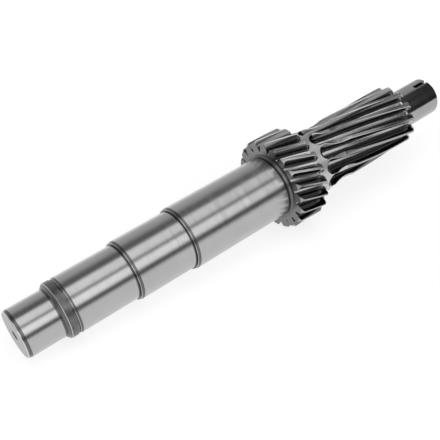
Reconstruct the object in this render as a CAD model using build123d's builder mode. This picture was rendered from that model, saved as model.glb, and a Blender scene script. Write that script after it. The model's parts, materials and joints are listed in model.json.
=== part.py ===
from build123d import *
from math import acos, asin, atan, cos, degrees, pi, radians, sin, sqrt, tan
import os

# Gearbox drive shaft, one steel forging: turned, hobbed, hardened and ground.
# Lengths are millimetres. Stations are measured along the axis from the front end face.

# Front journal for a bearing
front_journal_diameter = 45.0
front_journal_length = 36.0
front_lead_length = 3.6
front_lead_height = 0.9
front_edge_break = 0.4

# Front collar and the groove for its retaining ring
collar_diameter = 52.6
collar_length = 8.7
collar_chamfer_length = 2.8
collar_chamfer_height = 3.2
ring_groove_width = 2.2
ring_groove_depth = 1.6

# Plain ground seats that carry the shrunk-on gears, smallest at the front
seat_2_diameter = 53.0
seat_2_length = 59.3
seat_3_diameter = 58.0
seat_3_length = 59.6
seat_4_diameter = 62.5
seat_4_length = 109.6
seat_2_lead_length = 2.1
seat_lead_length = 2.8
seat_lead_height = 0.9

# Grinding relief at the foot of every ground step
relief_width = 1.8
relief_depth = 0.3

# Boss between the last seat and the gear
boss_diameter = 68.0
boss_length = 2.0
boss_chamfer_length = 1.8
boss_chamfer_height = 1.6

# Helical gear cut in the shaft
gear_teeth = 20
gear_module = 4.0
gear_helix_angle = 16.0
gear_addendum_factor = 1.2
gear_dedendum_factor = 1.4
gear_profile_shift = 0.1
gear_width = 35.1
gear_front_tip_chamfer = 2.6
gear_rear_tip_chamfer = 2.0
gear_root_fillet = 1.4

# Plain hub between the gear and the pinion, and the concave neck that leads down to the pinion
hub_diameter = 68.0
hub_length = 24.5
hub_chamfer = 1.0
neck_diameter = 61.8
neck_length = 29.0
neck_low_share = 0.58

# Helical pinion cut in the shaft. A finger cutter starts every tooth space in the hub, ahead of
# the neck, so the spaces have round ends.
pinion_teeth = 13
pinion_module = 4.25
pinion_helix_angle = 10.25
pinion_addendum_factor = 1.0
pinion_dedendum_factor = 1.25
pinion_profile_shift = 0.0
pinion_width = 87.1
pinion_tip_chamfer = 1.0
pinion_root_fillet = 1.6
cutter_lead = 5.4

# Values shared by both toothed lengths
pressure_angle = 20.0
tooth_end_chamfer = 1.0

# Rear journal and its open slot
rear_journal_diameter = 41.0
rear_journal_length = 51.9
rear_journal_chamfer = 1.0
rear_edge_chamfer = 1.5
slot_width = 4.6
slot_length = 20.0
slot_depth = 5.0
slot_corner_radius = 1.5
slot_turn = 3.8

# Centre holes that the shaft was turned and ground on
centre_hole_diameter = 4.0
centre_hole_mouth = 9.0
centre_hole_depth = 13.0
centre_hole_angle = 60

# Stations that follow from the lengths
collar_start = front_journal_length
groove_start = collar_start + collar_length
seat_2_start = groove_start + ring_groove_width
seat_3_start = seat_2_start + seat_2_length
seat_4_start = seat_3_start + seat_3_length
boss_start = seat_4_start + seat_4_length
gear_start = boss_start + boss_length
hub_start = gear_start + gear_width
neck_start = hub_start + hub_length
pinion_start = neck_start + neck_length
rear_journal_start = pinion_start + pinion_width
shaft_length = rear_journal_start + rear_journal_length


# How finely the tooth spaces are drawn, and how far their cutters stand past the metal
flank_steps = 2
fillet_steps = 2
gear_sections = 3
pinion_sections = 6
round_end_sides = 6
cutter_overrun = 1.2
break_overrun = 0.4


class HelicalTooth:
    """Sizes of one helical gear, and the outline of the space between two of its teeth."""

    def __init__(self, teeth, module, helix_angle, addendum, dedendum, profile_shift, root_fillet):
        helix = radians(helix_angle)
        normal_slope = tan(radians(pressure_angle))
        pressure = atan(normal_slope / cos(helix))
        thickness = (pi / 2 + 2 * profile_shift * normal_slope) * module / cos(helix)
        self.teeth = teeth
        self.root_fillet = root_fillet
        self.pitch_radius = teeth * module / cos(helix) / 2
        self.base_radius = self.pitch_radius * cos(pressure)
        self.tip_radius = self.pitch_radius + module * (addendum + profile_shift)
        self.root_radius = self.pitch_radius - module * (dedendum - profile_shift)
        self.turn_per_mm = degrees(tan(helix) / self.pitch_radius)
        self.base_half_angle = thickness / self.pitch_radius / 2 + tan(pressure) - pressure

    def space_half_angle(self, radius):
        """Half the angle of a tooth space at a radius, by the involute of the base circle."""
        pressure = acos(self.base_radius / max(radius, self.base_radius))
        return pi / self.teeth - self.base_half_angle + tan(pressure) - pressure

    def side_points(self, outer_radius):
        """One side of the space: down the involute, then round the fillet to the root.

        The first point stands straight above the involute, so that the space's flat top clears
        the round metal between its sides.
        """
        fillet = self.root_fillet
        centre_radius = self.root_radius + fillet
        foot_radius = sqrt(centre_radius**2 - fillet**2)
        form_radius = max(self.base_radius, foot_radius)
        points = [(outer_radius, outer_radius * sin(self.space_half_angle(outer_radius)))]
        for step in range(flank_steps + 1):
            radius = outer_radius + (form_radius - outer_radius) * step / flank_steps
            angle = self.space_half_angle(radius)
            points.append((radius * cos(angle), radius * sin(angle)))
        foot_angle = self.space_half_angle(foot_radius)
        fillet_angle = asin(fillet / centre_radius)
        centre_angle = foot_angle - fillet_angle
        centre = Vector(centre_radius * cos(centre_angle), centre_radius * sin(centre_angle))
        for step in range(1, fillet_steps + 1):
            turn = foot_angle + pi / 2 + (pi / 2 - fillet_angle) * step / fillet_steps
            points.append((centre.X + fillet * cos(turn), centre.Y + fillet * sin(turn)))
        return points

    def space_outline(self, outer_radius, grow=0.0):
        """Points of the whole space, centred on the X axis, from one side to the other.

        They reach out to outer_radius, and all of them are moved outwards by grow.
        """
        side = [Vector(x, y) for x, y in self.side_points(outer_radius)]
        outline = side + [Vector(point.X, -point.Y) for point in reversed(side)]
        last = len(outline) - 1
        moved = []
        for index, point in enumerate(outline):
            along = outline[min(index + 1, last)] - outline[max(index - 1, 0)]
            outwards = Vector(along.Y, -along.X).normalized()
            moved.append(point + outwards * grow)
        return moved


def across(station, turn):
    """Plane across the shaft's axis, with its X axis through the middle of a tooth space."""
    return Plane(
        origin=(0, 0, station),
        x_dir=(cos(radians(turn)), sin(radians(turn)), 0),
        z_dir=(0, 0, 1),
    )


def space_section(station, turn, outline):
    """Section of a tooth space across the shaft's axis."""
    with BuildSketch(across(station, turn)) as section:
        with BuildLine():
            Polyline(*outline, close=True)
        make_face()
    return section.sketch


gear = HelicalTooth(
    gear_teeth,
    gear_module,
    gear_helix_angle,
    gear_addendum_factor,
    gear_dedendum_factor,
    gear_profile_shift,
    gear_root_fillet,
)
pinion = HelicalTooth(
    pinion_teeth,
    pinion_module,
    pinion_helix_angle,
    pinion_addendum_factor,
    pinion_dedendum_factor,
    pinion_profile_shift,
    pinion_root_fillet,
)

# The shaft lies at rest on its collar and on two neighbouring gear teeth, so a gear space is
# turned straight down at the station where those two teeth touch the ground.
collar_contact_station = collar_start + collar_chamfer_length
collar_contact_radius = collar_diameter / 2
gear_contact_station = gear_start + max(gear_front_tip_chamfer, tooth_end_chamfer)
gear_contact_radius = gear.tip_radius * cos(gear.space_half_angle(gear.tip_radius))
lying_slope = (gear_contact_radius - collar_contact_radius) / (
    gear_contact_station - collar_contact_station
)
lying_tilt = atan(lying_slope)
front_face_radius = front_journal_diameter / 2 - front_lead_height - front_edge_break
rear_face_radius = rear_journal_diameter / 2 - rear_edge_chamfer
face_overhang = (rear_face_radius - front_face_radius) * sin(lying_tilt)
lying = Plane(
    origin=(
        -(shaft_length * cos(lying_tilt) + face_overhang) / 2,
        0,
        (collar_contact_radius - collar_contact_station * lying_slope) * cos(lying_tilt),
    ),
    x_dir=(-sin(lying_tilt), 0, cos(lying_tilt)),
    z_dir=(cos(lying_tilt), 0, sin(lying_tilt)),
)
profile_plane = Plane(origin=lying.origin, x_dir=lying.z_dir, z_dir=lying.y_dir)


def gear_turn(station):
    """Turn of a gear tooth space at a station, in degrees from the top of the lying shaft."""
    return (station - gear_contact_station) * gear.turn_per_mm


def pinion_turn(station):
    """Turn of a pinion tooth space at a station. One space lines up with the rear slot."""
    return slot_turn + (station - rear_journal_start) * pinion.turn_per_mm


def ground_length(start, end, diameter, lead_length, lead_height):
    """Profile of one ground length: lead-in cone, cylinder, and the relief at its foot."""
    radius = diameter / 2
    return [
        (start, radius - lead_height),
        (start + lead_length, radius),
        (end - relief_width, radius),
        (end - relief_width + relief_depth, radius - relief_depth),
        (end, radius - relief_depth),
    ]


def gear_section(station, grow=0.0):
    """Section of a gear tooth space at a station."""
    outline = gear.space_outline(gear.tip_radius + cutter_overrun, grow)
    return space_section(station, gear_turn(station), outline)


def pinion_section(station, grow=0.0):
    """Section of a pinion tooth space at a station, tall enough for the hub."""
    outline = pinion.space_outline(hub_diameter / 2 + cutter_overrun, grow)
    return space_section(station, pinion_turn(station), outline)


def evenly(start, end, count):
    """Stations spaced evenly from start to end, both included."""
    return [start + (end - start) * index / (count - 1) for index in range(count)]


def edge_break(section, face_station, inwards):
    """Two sections of the chamfer that breaks a tooth space's edge at one face of the teeth.

    They stand past the face and past the chamfer's foot, so that it cuts cleanly through both.
    """
    depth = tooth_end_chamfer + break_overrun
    return [
        section(face_station - inwards * break_overrun, depth),
        section(face_station + inwards * depth, -break_overrun),
    ]


# Space between two gear teeth
with BuildPart() as gear_space:
    gear_stations = evenly(gear_start - cutter_overrun, hub_start + cutter_overrun, gear_sections)
    loft([gear_section(station) for station in gear_stations], ruled=True)

# Chamfers of the gear teeth at both faces
with BuildPart() as gear_breaks:
    loft(edge_break(gear_section, gear_start, 1), ruled=True)
    loft(edge_break(gear_section, hub_start, -1), ruled=True)

# Space between two pinion teeth. Its round end is half of the finger cutter's own form.
cutter_station = neck_start - cutter_lead
cutter_plane = across(cutter_station, pinion_turn(cutter_station))


def cutter_level(radius, reach):
    """Half section of the finger cutter, ahead of its axis, at a radius of the shaft."""
    level = Plane(
        origin=cutter_plane.origin + cutter_plane.x_dir * radius,
        x_dir=cutter_plane.y_dir,
        z_dir=cutter_plane.x_dir,
    )
    bends = evenly(0, pi, round_end_sides + 1)
    with BuildSketch(level) as section:
        with BuildLine():
            Polyline(*[(reach * cos(bend), -reach * sin(bend)) for bend in bends], close=True)
        make_face()
    return section.sketch


with BuildPart() as pinion_space:
    pinion_stations = evenly(cutter_station, rear_journal_start + cutter_overrun, pinion_sections)
    loft([pinion_section(station) for station in pinion_stations], ruled=True)
    cutter_profile = pinion.side_points(hub_diameter / 2 + cutter_overrun)
    loft([cutter_level(radius, reach) for radius, reach in reversed(cutter_profile)], ruled=True)

# Chamfers of the pinion teeth at the rear face
with BuildPart() as pinion_breaks:
    loft(edge_break(pinion_section, rear_journal_start, -1), ruled=True)

# Slot in the rear journal, open at the rear face and rounded at its inner corners
slot_floor = Plane(
    origin=(0, 0, shaft_length),
    x_dir=(0, 0, -1),
    z_dir=(cos(radians(slot_turn)), sin(radians(slot_turn)), 0),
).offset(rear_journal_diameter / 2 - slot_depth)
with BuildPart() as slot_space:
    with BuildSketch(slot_floor):
        with Locations((-cutter_overrun, 0)):
            slot_face = Rectangle(
                slot_length + cutter_overrun, slot_width, align=(Align.MIN, Align.CENTER)
            )
        inner_corners = slot_face.vertices().group_by(Axis.X)[-1]
        fillet(inner_corners, slot_corner_radius)
    extrude(amount=slot_depth + cutter_overrun)

# The shaft: turned blank, tooth spaces, rear slot and centre holes
with BuildPart(lying) as drive_shaft:
    with BuildSketch(profile_plane):
        with BuildLine():
            Polyline(
                (0, 0),
                (0, front_face_radius),
                (front_edge_break, front_face_radius + front_edge_break),
                *ground_length(
                    front_edge_break,
                    collar_start,
                    front_journal_diameter,
                    front_lead_length - front_edge_break,
                    front_lead_height,
                )[1:],
                (collar_start, collar_diameter / 2 - collar_chamfer_height),
                (collar_start + collar_chamfer_length, collar_diameter / 2),
                (groove_start, collar_diameter / 2),
                (groove_start, collar_diameter / 2 - ring_groove_depth),
                (seat_2_start, collar_diameter / 2 - ring_groove_depth),
                *ground_length(
                    seat_2_start, seat_3_start, seat_2_diameter, seat_2_lead_length, seat_lead_height
                ),
                *ground_length(
                    seat_3_start, seat_4_start, seat_3_diameter, seat_lead_length, seat_lead_height
                ),
                *ground_length(
                    seat_4_start, boss_start, seat_4_diameter, seat_lead_length, seat_lead_height
                ),
                (boss_start, boss_diameter / 2 - boss_chamfer_height),
                (boss_start + boss_chamfer_length, boss_diameter / 2),
                (gear_start, boss_diameter / 2),
                (gear_start, gear.tip_radius - gear_front_tip_chamfer),
                (gear_start + gear_front_tip_chamfer, gear.tip_radius),
                (hub_start - gear_rear_tip_chamfer, gear.tip_radius),
                (hub_start, gear.tip_radius - gear_rear_tip_chamfer),
                (hub_start, hub_diameter / 2 + hub_chamfer),
                (hub_start + hub_chamfer, hub_diameter / 2),
                (neck_start, hub_diameter / 2),
            )
            ThreePointArc(
                (neck_start, hub_diameter / 2),
                (neck_start + neck_length * neck_low_share, neck_diameter / 2),
                (pinion_start, pinion.tip_radius),
            )
            Polyline(
                (pinion_start, pinion.tip_radius),
                (rear_journal_start - pinion_tip_chamfer, pinion.tip_radius),
                (rear_journal_start, pinion.tip_radius - pinion_tip_chamfer),
                (rear_journal_start, rear_journal_diameter / 2 + rear_journal_chamfer),
                (rear_journal_start + rear_journal_chamfer, rear_journal_diameter / 2),
                (shaft_length - rear_edge_chamfer, rear_journal_diameter / 2),
                (shaft_length, rear_face_radius),
                (shaft_length, 0),
                (0, 0),
            )
        make_face()
    revolve(axis=Axis(lying.origin, lying.z_dir))

    with PolarLocations(0, gear_teeth):
        add(gear_space.part, mode=Mode.SUBTRACT)
        add(gear_breaks.part, mode=Mode.SUBTRACT)
    with PolarLocations(0, pinion_teeth):
        add(pinion_space.part, mode=Mode.SUBTRACT)
        add(pinion_breaks.part, mode=Mode.SUBTRACT)
    add(slot_space.part, mode=Mode.SUBTRACT)

    front_centre = Plane(origin=(0, 0, 0), z_dir=(0, 0, -1))
    rear_centre = Plane(origin=(0, 0, shaft_length), z_dir=(0, 0, 1))
    with Locations(front_centre, rear_centre):
        CounterSinkHole(
            radius=centre_hole_diameter / 2,
            counter_sink_radius=centre_hole_mouth / 2,
            depth=centre_hole_depth,
            counter_sink_angle=centre_hole_angle,
        )

drive_shaft.part.label = "drive_shaft"

os.makedirs("parts", exist_ok=True)
export_step(drive_shaft.part, "parts/drive_shaft.step")
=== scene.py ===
import json
from math import asin, atan, cos, pi, radians, sin, sqrt, tan

import bmesh
import bpy
import numpy as np
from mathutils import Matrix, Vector


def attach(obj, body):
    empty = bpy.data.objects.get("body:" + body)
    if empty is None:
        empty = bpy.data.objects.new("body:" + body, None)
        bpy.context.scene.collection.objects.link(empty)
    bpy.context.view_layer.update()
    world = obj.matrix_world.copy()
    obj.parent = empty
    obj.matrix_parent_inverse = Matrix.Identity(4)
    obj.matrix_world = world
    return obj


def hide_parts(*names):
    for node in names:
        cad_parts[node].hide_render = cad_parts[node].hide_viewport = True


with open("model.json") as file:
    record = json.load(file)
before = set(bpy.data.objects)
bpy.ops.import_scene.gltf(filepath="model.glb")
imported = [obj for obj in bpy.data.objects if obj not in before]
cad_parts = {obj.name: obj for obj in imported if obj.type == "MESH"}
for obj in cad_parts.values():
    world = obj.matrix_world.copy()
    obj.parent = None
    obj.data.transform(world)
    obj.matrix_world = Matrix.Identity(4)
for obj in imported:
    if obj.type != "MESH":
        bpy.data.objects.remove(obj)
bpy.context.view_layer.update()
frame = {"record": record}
mm = 0.001


# Where the shaft lies. It is one steel forging, at rest on its collar and two gear teeth, with its
# axis rising a little towards the rear. The record's two journals give that axis, and every place
# along the shaft is a station, measured on the axis from the front end face.
mounts = {mount["name"]: mount for mount in frame["record"]["mounts"]}
journal_lead = 3.6 * mm
rearwards = Vector(mounts["rear_journal"]["axis"]).normalized()
front_middle = journal_lead + mounts["front_journal"]["dims"]["length_mm"] * mm / 2
front_centre = Vector(mounts["front_journal"]["pos_m"]) - rearwards * front_middle
sideways = Vector((0, -1, 0))
upwards = sideways.cross(rearwards)


# Skin of the shaft, which is one grid of rings. A ring has a station, and for each of its columns
# a radius, a turn about the axis from straight up, and the finish of the face behind it. There
# are 26 columns to a gear tooth and 40 to a pinion tooth.
COLUMNS = 520
rings = []


def ring(station, radius, finish, turn):
    """Adds one ring. Each value may be one number for the whole ring or one for each column."""
    whole = np.ones(COLUMNS)
    finishes = np.array(finish) * np.ones(COLUMNS, int)
    rings.append((station * whole, radius * whole, turn * whole, finishes))


def between(start, end, count):
    """Stations spaced evenly after start, up to and with end."""
    return np.linspace(start, end, count + 1)[1:]


# Bare steel. The shaft is one metal, and its finishes differ in how each surface was left: ground,
# turned or cut. Some of their greys are painted light: a bright grey is painted highlight on edges,
# chamfers and tooth roots, and dark greys are painted shade on tooth flanks, gear faces, grooves,
# holes and the slot. Clouds part two greys of a finish, and the tool marks run right round the
# axis, as the grinding wheel and the lathe leave them.
shaft_mesh = bpy.data.meshes.new("shaft_steel")
cloud_detail = 4.0


class Wire:
    """One output of a shader node. Arithmetic on wires and numbers adds Math nodes."""

    def __init__(self, tree, socket=None):
        self.tree, self.socket = tree, socket

    def node(self, kind, settings, inputs, output=0):
        """Adds a node: first its settings, then a value or a wire for each socket given."""
        made = self.tree.nodes.new("ShaderNode" + kind)
        stops = settings.pop("stops", [])
        for name, value in settings.items():
            setattr(made, name, value)
        for index, (place, level) in enumerate(stops):
            elements = made.color_ramp.elements
            stop = elements[index] if index < 2 else elements.new(place)
            stop.position, stop.color = place, (level, level, level, 1)
        for name, value in inputs.items():
            if isinstance(value, Wire):
                self.tree.links.new(value.socket, made.inputs[name])
            else:
                made.inputs[name].default_value = value
        return Wire(self.tree, made.outputs[output])

    def feed(self, node, name):
        """Links this wire to a socket of a node that is already there."""
        self.tree.links.new(self.socket, node.inputs[name])

    def maths(self, operation, first, second):
        """Adds a Math node on two wires or numbers."""
        return self.node("Math", {"operation": operation}, {0: first, 1: second})

    def along(self, line):
        """How far this place or direction reaches along a line: their dot product."""
        settings = {"operation": "DOT_PRODUCT"}
        return self.node("VectorMath", settings, {0: self, 1: tuple(line)}, "Value")

    def __add__(self, other):
        return self.maths("ADD", self, other)

    def __rsub__(self, other):
        return self.maths("SUBTRACT", other, self)

    def __mul__(self, other):
        return self.maths("MULTIPLY", self, other)


def steel(name, greys, roughness, clouds, marks=0, depth=0.0):
    """Adds a finish to the shaft and returns its number. Noise parts its greys into clouds.

    The noise has clouds periods to a metre. Tool marks are noise on the place along the axis:
    marks of them to a metre, depth metres deep.
    """
    finish = bpy.data.materials.new(name)
    finish.use_nodes = True
    shader = finish.node_tree.nodes["Principled BSDF"]
    shader.inputs["Metallic"].default_value = 1.0
    shader.inputs["Roughness"].default_value = roughness
    place = Wire(finish.node_tree).node("TexCoord", {}, {}, "Object")
    noise = {"Vector": place, "Scale": clouds, "Detail": cloud_detail}
    dark, light = ((grey, grey, grey, 1) for grey in greys)
    # A Mix node keeps its factor in socket 0, and its two colours in 6 and 7.
    mixed = {0: place.node("TexNoise", {}, noise), 6: dark, 7: light}
    place.node("Mix", {"data_type": "RGBA"}, mixed, 2).feed(shader, "Base Color")
    if marks:
        noise = {"W": place.along(rearwards), "Scale": marks}
        height = place.node("TexNoise", {"noise_dimensions": "1D"}, noise)
        place.node("Bump", {}, {"Distance": depth, "Height": height}).feed(shader, "Normal")
    shaft_mesh.materials.append(finish)
    return len(shaft_mesh.materials) - 1


# Front end: the turned face with its centre hole, which is drilled, then opened by a 60 degree
# countersink for the lathe's centre. The hole is painted dark as shade, and the rim of the face is
# painted bright as a highlight.
# Plain rings start their columns a little before straight up, where the gear's face starts its.
hole_radius = 2.0 * mm
hole_mouth = 4.5 * mm
hole_depth = 13.0 * mm
hole_cone = (hole_mouth - hole_radius) / tan(radians(60) / 2)
journal_radius = mounts["front_journal"]["dims"]["r_mm"] * mm
lead_height = 0.9 * mm
edge_break = 0.4 * mm
seam_turn = radians(5.94)
plain_turn = np.arange(COLUMNS) / COLUMNS * 2 * pi - seam_turn

# Dark turned steel; in grooves, reliefs, centre holes and the slot its dark grey is also painted
# shade.
TURNED_AND_SHADE = steel("turned_step_and_painted_shade", (0.11, 0.18), 0.27, clouds=120, marks=1800, depth=0.03 * mm)
# The collar's matt turned steel; on the front centre hole's cone its dark grey is painted shade.
MATT_AND_HOLE_SHADE = steel("collar_steel_and_hole_shade", (0.07, 0.24), 0.38, clouds=220, marks=1500, depth=0.08 * mm)
# Bright grey on edge breaks and chamfers: a painted highlight.
EDGE_HIGHLIGHT = steel("chamfer_painted_highlight", (0.58, 0.72), 0.25, clouds=90)
END_FACE = steel("end_face", (0.34, 0.46), 0.38, clouds=60)

ring(hole_depth, 0.0, TURNED_AND_SHADE, plain_turn)
ring(hole_depth, hole_radius, TURNED_AND_SHADE, plain_turn)
ring(hole_cone, hole_radius, MATT_AND_HOLE_SHADE, plain_turn)
ring(0.0, hole_mouth, END_FACE, plain_turn)
ring(0.0, journal_radius - lead_height - edge_break, EDGE_HIGHLIGHT, plain_turn)


# Ground lengths: first the front bearing's journal, later the three seats for shrunk-on gears. Each
# starts with a turned lead-in cone, whose first eighth is painted bright as a highlight, and ends
# in a shallow grinding relief in front of the next step, painted dark as shade.
journal_length = 36.0 * mm
relief_width = 1.8 * mm
relief_depth = 0.3 * mm
lead_highlight_share = 1 / 8
ground_bands = 6

GROUND = steel("ground_seat", (0.40, 0.50), 0.20, clouds=30, marks=2600, depth=0.08 * mm)


def ground_length(start, end, radius, lead_length):
    """Cone up to the ground radius, the cylinder in short bands, then the relief at its foot."""
    lead_highlight_end = start + lead_length * lead_highlight_share
    ring(start, radius - lead_height, EDGE_HIGHLIGHT, plain_turn)
    ring(lead_highlight_end, radius - lead_height * (1 - lead_highlight_share), TURNED_AND_SHADE, plain_turn)
    ring(start + lead_length, radius, GROUND, plain_turn)
    for station in between(start + lead_length, end - relief_width, ground_bands):
        ring(station, radius, GROUND, plain_turn)
    ring(end - relief_width + relief_depth, radius - relief_depth, TURNED_AND_SHADE, plain_turn)
    ring(end, radius - relief_depth, TURNED_AND_SHADE, plain_turn)


ground_length(edge_break, journal_length, journal_radius, journal_lead - edge_break)


# Collar: the stop for the front bearing's inner ring, left matt as turned, with a steep chamfer
# whose upper edge is painted bright as a highlight. Behind it is the narrow groove for the
# retaining ring of the first gear, painted dark as shade.
collar_radius = 26.3 * mm
collar_length = 8.7 * mm
chamfer_length = 2.8 * mm
chamfer_height = 3.2 * mm
chamfer_highlight_share = 0.12
groove_width = 2.2 * mm
groove_depth = 1.6 * mm
groove_start = journal_length + collar_length
seat_2_start = groove_start + groove_width
chamfer_highlight_start = journal_length + chamfer_length * (1 - chamfer_highlight_share)

ring(journal_length, collar_radius - chamfer_height, TURNED_AND_SHADE, plain_turn)
ring(chamfer_highlight_start, collar_radius - chamfer_height * chamfer_highlight_share, EDGE_HIGHLIGHT, plain_turn)
ring(journal_length + chamfer_length, collar_radius, MATT_AND_HOLE_SHADE, plain_turn)
ring(groove_start, collar_radius, TURNED_AND_SHADE, plain_turn)
ring(groove_start, collar_radius - groove_depth, TURNED_AND_SHADE, plain_turn)
ring(seat_2_start, collar_radius - groove_depth, TURNED_AND_SHADE, plain_turn)


# Seats: three ground lengths, each larger than the one before it, for the shrunk-on gears. The
# last one ends at the boss in front of the toothed gear.
seat_2_lead = 2.1 * mm
seat_lead = 2.8 * mm
seat_3_start = seat_2_start + 59.3 * mm
seat_4_start = seat_3_start + 59.6 * mm
boss_start = seat_4_start + 109.6 * mm

seat_radius = [mounts[name]["dims"]["r_mm"] * mm for name in ("seat_2", "seat_3", "seat_4")]
ground_length(seat_2_start, seat_3_start, seat_radius[0], seat_2_lead)
ground_length(seat_3_start, seat_4_start, seat_radius[1], seat_lead)
ground_length(seat_4_start, boss_start, seat_radius[2], seat_lead)


# Tooth form of the gear and the pinion. Every tooth space has involute flanks that run through a
# round fillet into the root circle. The flanks are painted dark as the shade between the teeth, the
# roots are painted bright as highlights, and the lands are brighter than the flanks.
# Both lengths of teeth are cut by these rules from their own sizes.
pressure_angle = radians(20)
tip_break = 0.35 * mm
end_chamfer = 1.0 * mm
root_share = 0.1
fillet_share = 0.3
foot_share = root_share + fillet_share
outline_points = 801

# Dark grey on the tooth flanks and the rear faces of gear and pinion: painted shade.
FLANK_SHADE = steel("cut_flank_painted_shade", (0.13, 0.21), 0.15, clouds=90)
# Bright grey along the tooth roots: a painted highlight.
ROOT_HIGHLIGHT = steel("tooth_root_painted_highlight", (0.42, 0.55), 0.24, clouds=90)
LAND = steel("tooth_land", (0.30, 0.40), 0.24, clouds=90)


class Teeth:
    """Sizes of one helical gear, and the outline of the space between two of its teeth."""

    def __init__(self, count, module, helix_angle, addendum, dedendum, profile_shift):
        normal_slope = tan(pressure_angle)
        pressure = atan(normal_slope / cos(helix_angle))
        thickness = (pi / 2 + 2 * profile_shift * normal_slope) * module / cos(helix_angle)
        self.count = count
        self.pitch_turn = 2 * pi / count
        self.columns = COLUMNS // count
        self.pitch_radius = count * module / cos(helix_angle) / 2
        self.base_radius = self.pitch_radius * cos(pressure)
        self.tip_radius = self.pitch_radius + module * (addendum + profile_shift)
        self.root_radius = self.pitch_radius - module * (dedendum - profile_shift)
        self.turn_per_length = tan(helix_angle) / self.pitch_radius
        self.base_half_turn = thickness / self.pitch_radius / 2 + tan(pressure) - pressure

    def shape_spaces(self, root_fillet, columns_across, reach_radius):
        """Sets the round at the root, the columns across one space, and how far out it reaches."""
        self.root_fillet = root_fillet
        self.columns_across = columns_across
        self.reach_radius = reach_radius

    def space_half_turn(self, radius):
        """Half the angle of a tooth space at a radius: pi / count - base half angle + involute."""
        slope = np.sqrt(np.maximum(radius / self.base_radius, 1.0) ** 2 - 1)
        return pi / self.count - self.base_half_turn + slope - np.arctan(slope)

    def outline(self, share):
        """Points of the space, centred on the x axis, for shares from -1 (one tip) to 1.

        A share of 0 is the middle of the root. The root circle takes the first shares, the fillet
        the next, and the involute the rest, spaced evenly in radius past the tips. Each is an arc
        or a curve in complex numbers: centre + radius * e to the power of i * turn.
        """
        side, reach = np.sign(share), np.abs(share)
        fillet_centre = self.root_radius + self.root_fillet
        foot_radius = sqrt(fillet_centre**2 - self.root_fillet**2)
        foot_turn = float(self.space_half_turn(foot_radius))
        fillet_turn = asin(self.root_fillet / fillet_centre)
        centre_turn = foot_turn - fillet_turn
        form_radius = max(self.base_radius, foot_radius)
        on_root = np.clip(reach / root_share, 0, 1) * centre_turn
        up_fillet = np.clip((reach - root_share) / fillet_share, 0, 1) * (pi / 2 - fillet_turn)
        up_flank = np.clip((reach - foot_share) / (1 - foot_share), 0, 1)
        radius = form_radius + (self.reach_radius - form_radius) * up_flank
        flank = radius * np.exp(1j * self.space_half_turn(radius))
        fillet = self.root_fillet * np.exp(1j * (foot_turn + pi - fillet_turn - up_fillet))
        fillet = fillet + fillet_centre * np.exp(1j * centre_turn)
        root = self.root_radius * np.exp(1j * on_root)
        points = np.select([reach > foot_share, reach > root_share], [flank, fillet], root)
        return points.real, side * points.imag

    def cut(self, outer_radius, grow=0.0, ahead=0.0):
        """Radius and turn of one pitch of columns: across the space, then over the tooth's land.

        The outline grows outwards by grow. Ahead of a finger cutter's axis it is the cutter's own
        round end: half width = square root of (half width squared - distance ahead squared).
        Where it passes the blank's outer radius it is cut off, with a small break to the land.
        The columns keep even steps, half by the length of the outline and half by its points.
        """
        x, y = self.outline(np.linspace(-1, 1, outline_points))
        along_x, along_y = np.gradient(x), np.gradient(y)
        length = np.hypot(along_x, along_y)
        x, y = x + grow * along_y / length, y - grow * along_x / length
        if ahead > 0:
            one_side = slice(outline_points // 2 + 1, None)
            bottom = np.interp(ahead, y[one_side], x[one_side])
            x = np.where(np.abs(y) > ahead, x, bottom)
            y = np.sign(y) * np.sqrt(np.maximum(y**2 - ahead**2, 0))
        radius, turn = np.hypot(x, y), np.arctan2(y, x)
        step = min(tip_break, max(outer_radius - radius.min(), 0.0) / 3)
        inside = np.flatnonzero(radius < outer_radius - step)
        if len(inside) < 2:
            lowest = turn[radius.argmin()]
            edges = (lowest, lowest)
            across_radius = np.full(self.columns_across, outer_radius)
            across_turn = np.full(self.columns_across, lowest)
        else:
            steps = np.arange(len(radius))
            moved = np.hypot(np.diff(x), np.diff(y))
            pace = moved / moved.sum() + (moved > 0) / np.count_nonzero(moved)
            travelled = np.concatenate([[0.0], np.cumsum(pace)])
            limits = self.crossing(radius, outer_radius - step, inside)
            low, high = np.interp(limits, steps, travelled)
            picks = np.interp(np.linspace(low, high, self.columns_across), travelled, steps)
            across_radius = np.interp(picks, steps, radius)
            across_turn = np.interp(picks, steps, turn)
            edges = (across_turn[0] - step / outer_radius, across_turn[-1] + step / outer_radius)
        land_columns = self.columns - self.columns_across
        land = np.linspace(edges[1], edges[0] + self.pitch_turn, land_columns)
        return (
            np.concatenate([across_radius, np.full(land_columns, outer_radius)]),
            np.concatenate([across_turn, land]),
        )

    @staticmethod
    def crossing(radius, limit, inside):
        """Where, in steps along the outline, its radius passes the limit on each side."""
        low, high = float(inside[0]), float(inside[-1])
        if inside[0] > 0:
            outer, inner = radius[inside[0] - 1], radius[inside[0]]
            low -= (limit - inner) / (outer - inner)
        if inside[-1] < len(radius) - 1:
            inner, outer = radius[inside[-1]], radius[inside[-1] + 1]
            high += (limit - inner) / (outer - inner)
        return low, high

    def all_round(self, space_turn, outer_radius, **shape):
        """Radius and turn of every column of a ring, with its first space at space_turn."""
        radius, turn = self.cut(outer_radius, **shape)
        pitches = np.repeat(np.arange(self.count), self.columns) * self.pitch_turn
        return np.tile(radius, self.count), space_turn + pitches + np.tile(turn, self.count)

    def ring(self, station, space_turn, outer_radius, finishes, **shape):
        """Adds a ring right round the toothed length, with its first space at space_turn."""
        radius, turn = self.all_round(space_turn, outer_radius, **shape)
        finishes = np.tile(finishes * np.ones(self.columns, int), self.count)
        ring(station, radius, finishes, turn)

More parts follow.
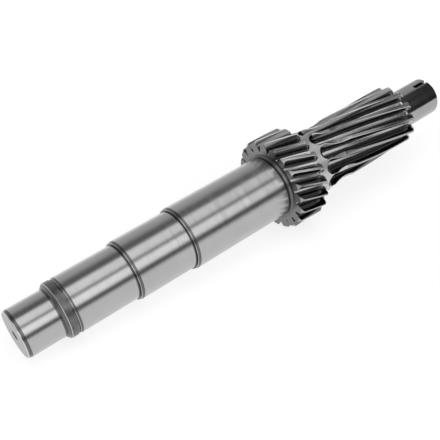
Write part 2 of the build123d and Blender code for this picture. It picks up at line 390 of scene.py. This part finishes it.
    def finishes(self, land, flank=FLANK_SHADE, root=ROOT_HIGHLIGHT):
        """Finish of each column's face in one pitch: flank, root, flank, tip break, land, break.

        The root has about a quarter of the faces across a space, an even number of them. The flank
        finish is by default painted shade, and the root finish and the tip breaks painted
        highlight.
        """
        on_root = (self.columns_across - 1) // 8 * 2
        on_flank = (self.columns_across - 1 - on_root) // 2
        across = [flank] * on_flank + [root] * on_root + [flank] * on_flank
        top = [land] * (self.columns - self.columns_across - 1)
        return np.array(across + [EDGE_HIGHLIGHT] + top + [EDGE_HIGHLIGHT])


# Gear: twenty helical teeth cut in the shaft, behind a low chamfered boss. Their tips are turned to
# a wide chamfer at both faces, and the edges of the spaces are chamfered there too and painted
# bright as highlights. The gear's faces are painted dark as shade. Two teeth stand on the ground,
# on either side of the space straight below the first one.
gear = Teeth(
    count=20,
    module=4.0 * mm,
    helix_angle=radians(16),
    addendum=1.2,
    dedendum=1.4,
    profile_shift=0.1,
)
gear.shape_spaces(
    root_fillet=1.4 * mm,
    columns_across=21,
    reach_radius=gear.tip_radius + 2 * tip_break,
)
boss_radius = 34.0 * mm
boss_chamfer_length = 1.8 * mm
boss_chamfer_height = 1.6 * mm
gear_start = boss_start + 2.0 * mm
gear_width = 35.1 * mm
front_tip_chamfer = 2.6 * mm
rear_tip_chamfer = 2.0 * mm
hub_start = gear_start + gear_width
front_tips = gear_start + front_tip_chamfer
rear_tips = hub_start - rear_tip_chamfer
gear_bands = 12

# Dark grey on the gear's front face: painted shade.
GEAR_FACE_SHADE = steel("gear_face_painted_shade", (0.15, 0.24), 0.22, clouds=60)
gear_teeth = gear.finishes(LAND)
gear_chamfer_highlight = gear.finishes(LAND, EDGE_HIGHLIGHT, EDGE_HIGHLIGHT)


def gear_turn(station):
    """Turn of the first gear space: straight up where the front tip chamfer ends."""
    return (station - front_tips) * gear.turn_per_length


def gear_ring(station, grow, finishes):
    """Ring of the gear at a station, inside its two tip chamfers."""
    outer_radius = gear.tip_radius + min(station - front_tips, rear_tips - station, 0.0)
    gear.ring(station, gear_turn(station), outer_radius, finishes, grow=grow)


face_radius = gear.tip_radius - front_tip_chamfer
_, face_turn = gear.all_round(gear_turn(gear_start), face_radius, grow=end_chamfer)
ring(boss_start, boss_radius - boss_chamfer_height, TURNED_AND_SHADE, face_turn)
ring(boss_start + boss_chamfer_length, boss_radius, TURNED_AND_SHADE, face_turn)
ring(gear_start, boss_radius, GEAR_FACE_SHADE, face_turn)
gear_ring(gear_start, end_chamfer, gear_chamfer_highlight)
gear_ring(gear_start + end_chamfer, 0.0, gear_teeth)
gear_ring(front_tips, 0.0, gear_teeth)
for station in between(front_tips, rear_tips, gear_bands):
    gear_ring(station, 0.0, gear_teeth)
gear_ring(hub_start - end_chamfer, 0.0, gear_chamfer_highlight)
gear_ring(hub_start, end_chamfer, FLANK_SHADE)


# Hub: plain turned steel between gear and pinion, with a small chamfer at the gear's rear face,
# painted bright as a highlight. A concave neck leads down from it and up to the pinion's tips, on
# the circle through its two ends and its lowest point. The pinion has thirteen teeth.
pinion = Teeth(
    count=13,
    module=4.25 * mm,
    helix_angle=radians(10.25),
    addendum=1.0,
    dedendum=1.25,
    profile_shift=0.0,
)
hub_radius = 34.0 * mm
hub_chamfer = 1.0 * mm
hub_bands = 6
neck_start = hub_start + 24.5 * mm
neck_low = neck_start + 16.82 * mm
neck_low_radius = 30.9 * mm
pinion_start = neck_start + 29.0 * mm

HUB = steel("hub_steel", (0.50, 0.62), 0.38, clouds=60, marks=1500, depth=0.04 * mm)

neck_points = np.array(
    [(neck_start, hub_radius), (neck_low, neck_low_radius), (pinion_start, pinion.tip_radius)]
)
chords = neck_points[1:] - neck_points[0]
middles = (neck_points[1:] + neck_points[0]) / 2
neck_centre = np.linalg.solve(chords, (chords * middles).sum(axis=1))
neck_bend = np.hypot(*(neck_points[0] - neck_centre))

rear_face_radius = gear.tip_radius - rear_tip_chamfer
_, rear_face_turn = gear.all_round(gear_turn(hub_start), rear_face_radius, grow=end_chamfer)
ring(hub_start, hub_radius + hub_chamfer, EDGE_HIGHLIGHT, rear_face_turn)
ring(hub_start + hub_chamfer, hub_radius, HUB, rear_face_turn)


# Pinion: long helical teeth. A finger cutter starts every space in the hub, ahead of the neck, so
# the spaces have round ends that almost touch their neighbours. The edges at the rear face are
# chamfered and painted bright as highlights, and the rear face is painted dark as shade.
pinion.shape_spaces(root_fillet=1.6 * mm, columns_across=33, reach_radius=hub_radius + 2 * mm)
cutter_start = neck_start - 3.4 * mm
pinion_tip_chamfer = 1.0 * mm
rear_journal_start = pinion_start + 87.1 * mm
slot_turn = radians(3.8)
round_end_bands = 21
neck_bands = 24
pinion_bands = 24

flank_x, flank_y = pinion.outline(np.linspace(foot_share, 1, 241))
cutter_reach = float(np.interp(hub_radius, flank_x, flank_y))
first_cut = cutter_start - cutter_reach


def pinion_turn(station):
    """Turn of a pinion space, in line with the rear slot at the teeth's rear end."""
    return slot_turn + (max(station, cutter_start) - rear_journal_start) * pinion.turn_per_length


def blank_radius(station):
    """Outer radius of the turned blank from the hub to the pinion's rear face."""
    if station <= neck_start:
        return hub_radius
    if station <= pinion_start:
        return neck_centre[1] - sqrt(neck_bend**2 - (station - neck_centre[0]) ** 2)
    return pinion.tip_radius - max(station - rear_journal_start + pinion_tip_chamfer, 0.0)


# The pinion counts from its space nearest the gear's first, so the columns between hardly twist.
first_space = round((gear_turn(hub_start) - pinion_turn(first_cut)) / pinion.pitch_turn)


def pinion_ring(station, grow, finishes):
    """Ring of the pinion at a station. Ahead of the cutter's axis its spaces have a round end."""
    pinion.ring(
        station,
        pinion_turn(station) + first_space * pinion.pitch_turn,
        blank_radius(station),
        finishes,
        grow=grow,
        ahead=max(cutter_start - station, 0.0),
    )


first_cut_turn = pinion_turn(first_cut) + first_space * pinion.pitch_turn
_, hub_end_turn = pinion.all_round(first_cut_turn, hub_radius, ahead=cutter_reach)
chamfer_end = hub_start + hub_chamfer
for station in between(chamfer_end, first_cut, hub_bands)[:-1]:
    share = (station - chamfer_end) / (first_cut - chamfer_end)
    ring(station, hub_radius, HUB, rear_face_turn + (hub_end_turn - rear_face_turn) * share)

pinion_hub = pinion.finishes(HUB)
pinion_teeth = pinion.finishes(LAND)
for bend in np.linspace(0, pi / 2, round_end_bands + 1):
    pinion_ring(cutter_start - cutter_reach * cos(bend), 0.0, pinion_hub)
for station in between(cutter_start, pinion_start, neck_bands):
    pinion_ring(station, 0.0, pinion_hub if station < neck_low else pinion_teeth)
for station in between(pinion_start, rear_journal_start - end_chamfer, pinion_bands)[:-1]:
    pinion_ring(station, 0.0, pinion_teeth)
pinion_ring(rear_journal_start - end_chamfer, 0.0, pinion.finishes(LAND, EDGE_HIGHLIGHT, EDGE_HIGHLIGHT))
pinion_ring(rear_journal_start, end_chamfer, FLANK_SHADE)


# Rear journal for the rear bearing, ground smooth, with a front chamfer painted bright as a
# highlight, and the open slot that drives the part behind it. The slot has parallel walls, a flat
# floor and rounded inner corners, painted dark as shade. The rear face has a centre hole like the
# front one's, painted dark as shade.
rear_radius = mounts["rear_journal"]["dims"]["r_mm"] * mm
rear_chamfer = 1.0 * mm
rear_edge_chamfer = 1.5 * mm
shaft_length = rear_journal_start + 51.9 * mm
slot_half_width = 2.3 * mm
slot_length = 20.0 * mm
slot_depth = 5.0 * mm
slot_corner = 1.5 * mm
slot_start = shaft_length - slot_length
slot_half_columns = 10
journal_bands = 5
corner_bands = 4
slot_bands = 4

REAR_JOURNAL = steel("rear_journal", (0.33, 0.41), 0.13, clouds=30)

# Between pinion and slot the columns turn until they are even about the slot's middle one.
journal_turn = rings[-1][2]
slot_column = int(np.argmin(np.abs(np.angle(np.exp(1j * (journal_turn - slot_turn))))))
whole_turns = 2 * pi * round((journal_turn[slot_column] - slot_turn) / (2 * pi))
offset = np.arange(COLUMNS) - slot_column
even_turn = slot_turn + whole_turns + offset * 2 * pi / COLUMNS
journal_start = rear_journal_start + rear_chamfer
ring(rear_journal_start, rear_radius + rear_chamfer, EDGE_HIGHLIGHT, journal_turn)
ring(journal_start, rear_radius, REAR_JOURNAL, journal_turn)
for station in between(journal_start, slot_start, journal_bands)[:-1]:
    share = (station - journal_start) / (slot_start - journal_start)
    ring(station, rear_radius, REAR_JOURNAL, journal_turn + (even_turn - journal_turn) * share)


def slot_ring(station, radius, half_width, finish):
    """Ring of the journal round the slot. Its middle columns lie on the floor, between walls.

    A floor column has the place y across the slot, so its turn is the arc tangent of y over the
    floor's height. The other columns share what is left of the circle.
    """
    floor = np.abs(offset) <= slot_half_columns
    floor_y = offset / slot_half_columns * half_width
    floor_height = rear_radius - slot_depth
    lip_turn = asin(half_width / radius)
    spare = (np.abs(offset) - slot_half_columns - 1) / (COLUMNS / 2 - slot_half_columns - 1)
    outer_turn = np.sign(offset) * (lip_turn * (1 - spare) + pi * spare)
    turn = np.where(floor, np.arctan2(floor_y, floor_height), outer_turn)
    # The slot's walls and floor are painted dark as shade.
    in_slot = (offset >= -slot_half_columns - 1) & (offset <= slot_half_columns)
    slot_radius = np.where(floor, np.hypot(floor_height, floor_y), radius)
    ring(station, slot_radius, np.where(in_slot, TURNED_AND_SHADE, finish), slot_turn + whole_turns + turn)


ring(slot_start, rear_radius, REAR_JOURNAL, even_turn)
for bend in np.linspace(0, pi / 2, corner_bands + 1):
    half_width = slot_half_width - slot_corner * (1 - sin(bend))
    slot_ring(slot_start + slot_corner * (1 - cos(bend)), rear_radius, half_width, REAR_JOURNAL)
for station in between(slot_start + slot_corner, shaft_length - rear_edge_chamfer, slot_bands)[:-1]:
    slot_ring(station, rear_radius, slot_half_width, REAR_JOURNAL)
slot_ring(shaft_length - rear_edge_chamfer, rear_radius, slot_half_width, TURNED_AND_SHADE)
slot_ring(shaft_length, rear_radius - rear_edge_chamfer, slot_half_width, END_FACE)
ring(shaft_length, hole_mouth, TURNED_AND_SHADE, even_turn)
ring(shaft_length - hole_cone, hole_radius, TURNED_AND_SHADE, even_turn)
ring(shaft_length - hole_depth, hole_radius, TURNED_AND_SHADE, even_turn)
ring(shaft_length - hole_depth, 0.0, TURNED_AND_SHADE, even_turn)


# The rings as one closed mesh. Columns that fall on one point, as at the two poles and where a
# tooth space runs out, are merged there. Edges sharper than the crease angle stay crisp.
crease_angle = radians(17)
merge_distance = 0.002 * mm
stations, radii, turns, bands = (np.array(values) for values in zip(*rings))
axis_points = np.array(front_centre) + stations[..., None] * np.array(rearwards)
outwards = np.cos(turns)[..., None] * np.array(upwards)
outwards = outwards + np.sin(turns)[..., None] * np.array(sideways)
points = (axis_points + radii[..., None] * outwards).reshape(-1, 3)
row, column = np.meshgrid(np.arange(len(rings) - 1), np.arange(COLUMNS), indexing="ij")
here, beside = row * COLUMNS + column, row * COLUMNS + (column + 1) % COLUMNS
faces = np.stack([here, beside, beside + COLUMNS, here + COLUMNS], axis=-1).reshape(-1, 4)

shaft_mesh.from_pydata(points.tolist(), [], faces.tolist())
shaft_mesh.polygons.foreach_set("material_index", bands[:-1].reshape(-1).astype(np.int32))
shaft_mesh.polygons.foreach_set("use_smooth", np.ones(len(faces), bool))
skin = bmesh.new()
skin.from_mesh(shaft_mesh)
bmesh.ops.remove_doubles(skin, verts=skin.verts, dist=merge_distance)
bmesh.ops.dissolve_degenerate(skin, edges=skin.edges, dist=merge_distance / 2)
skin.to_mesh(shaft_mesh)
skin.free()
shaft_mesh.set_sharp_from_angle(angle=crease_angle)
shaft = bpy.data.objects.new("shaft_steel", shaft_mesh)
bpy.context.collection.objects.link(shaft)
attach(shaft, "root")
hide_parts("drive_shaft")


# Floor, plain and pale. It gives some light of its own to what is seen directly and in
# reflections, so that it stays white there and still keeps the shaft's shadow.
floor_half = 4.0
floor_grey = 0.38
floor_glow = 0.76
floor_corners = [(-1, -1), (1, -1), (1, 1), (-1, 1)]
floor_points = [(floor_half * x, floor_half * y, 0) for x, y in floor_corners]
floor_mesh = bpy.data.meshes.new("floor")
floor_mesh.from_pydata(floor_points, [], [(0, 1, 2, 3)])
floor = bpy.data.objects.new("floor", floor_mesh)
bpy.context.collection.objects.link(floor)
floor_white = bpy.data.materials.new("floor_white")
floor_white.use_nodes = True
floor_shader = floor_white.node_tree.nodes["Principled BSDF"]
floor_shader.inputs["Base Color"].default_value = (floor_grey, floor_grey, floor_grey, 1)
floor_shader.inputs["Roughness"].default_value = 1.0
floor_shader.inputs["Specular IOR Level"].default_value = 0.0
floor_shader.inputs["Emission Strength"].default_value = 1.0


def rays(tree, kind):
    """1 for rays of one kind and 0 for all others."""
    return Wire(tree).node("LightPath", {}, {}, "Is %s Ray" % kind)


on_camera, on_gloss, through = (
    rays(floor_white.node_tree, kind) for kind in ("Camera", "Glossy", "Transmission")
)
((on_camera + on_gloss + through) * floor_glow).feed(floor_shader, "Emission Color")
floor_mesh.materials.append(floor_white)


# Soft light all round, from two long softboxes over the shaft and the dark cards between them. Its
# level depends on a direction's angle about the shaft's axis, counted from straight up. Towards
# the rear one wide dark card takes their place, and nearer still to the axis the light falls off.
brightest = 2.0


def around(levels):
    """Ramp stops from pairs of an angle in degrees and a level, as parts of the brightest."""
    return [(angle / 360 + 0.5, level / brightest) for angle, level in levels]


softboxes = around(
    [
        (-75, 0.68), (-50, 0.5), (-34, 0.16), (-15, 0.16), (-8, 1.3), (20, 1.25), (28, 0.3),
        (32, 0.3), (40, 1.6), (62, 1.5), (71, 0.1), (82, 0.1), (88, 0.8), (95, 1.0),
    ]
)
rear_card = around([(-28, 0.6), (-12, 0.036), (92, 0.036), (106, 0.6)])
world = bpy.data.worlds.new("studio")
world.use_nodes = True
bpy.context.scene.world = world
towards = Wire(world.node_tree).node("TexCoord", {}, {}, "Generated")
turn = towards.maths("ARCTAN2", towards.along(sideways), towards.along(upwards))
turn = turn * (0.5 / pi) + 0.5
to_rear = towards.along(rearwards)
smooth = {"interpolation_type": "SMOOTHSTEP"}
card_range = {"Value": to_rear, "From Min": 0.58, "From Max": 0.65}
fall_range = {"Value": to_rear, "From Min": 0.72, "From Max": 0.8, "To Min": 1.0, "To Max": 0.1}
past_rear = towards.node("MapRange", smooth, card_range)
fall = towards.node("MapRange", smooth, fall_range)
boxes = towards.node("ValToRGB", {"stops": softboxes}, {"Fac": turn})
card = towards.node("ValToRGB", {"stops": rear_card}, {"Fac": turn})
level = (boxes * (1 - past_rear) + card * past_rear) * fall * brightest
seen = rays(world.node_tree, "Camera") + rays(world.node_tree, "Transmission")
(level * (1 - seen) + seen).feed(world.node_tree.nodes["Background"], "Color")


# Camera at the photograph's place, as the outlines of the shaft give it. The photograph is 440
# pixels wide and high, and the frame is moved by half a pixel each way.
image_side = 440
camera_data = bpy.data.cameras.new("camera")
camera_data.lens = 59.7387
camera_data.shift_x = -0.5 / image_side
camera_data.shift_y = 0.5 / image_side
camera = bpy.data.objects.new("camera", camera_data)
camera.location = (-0.369593, -0.434781, 0.456201)
camera.rotation_euler = (radians(52.3716), radians(1.3605), radians(-38.4555))
bpy.context.collection.objects.link(camera)
bpy.context.scene.camera = camera

bpy.context.scene.view_settings.view_transform = "Standard"
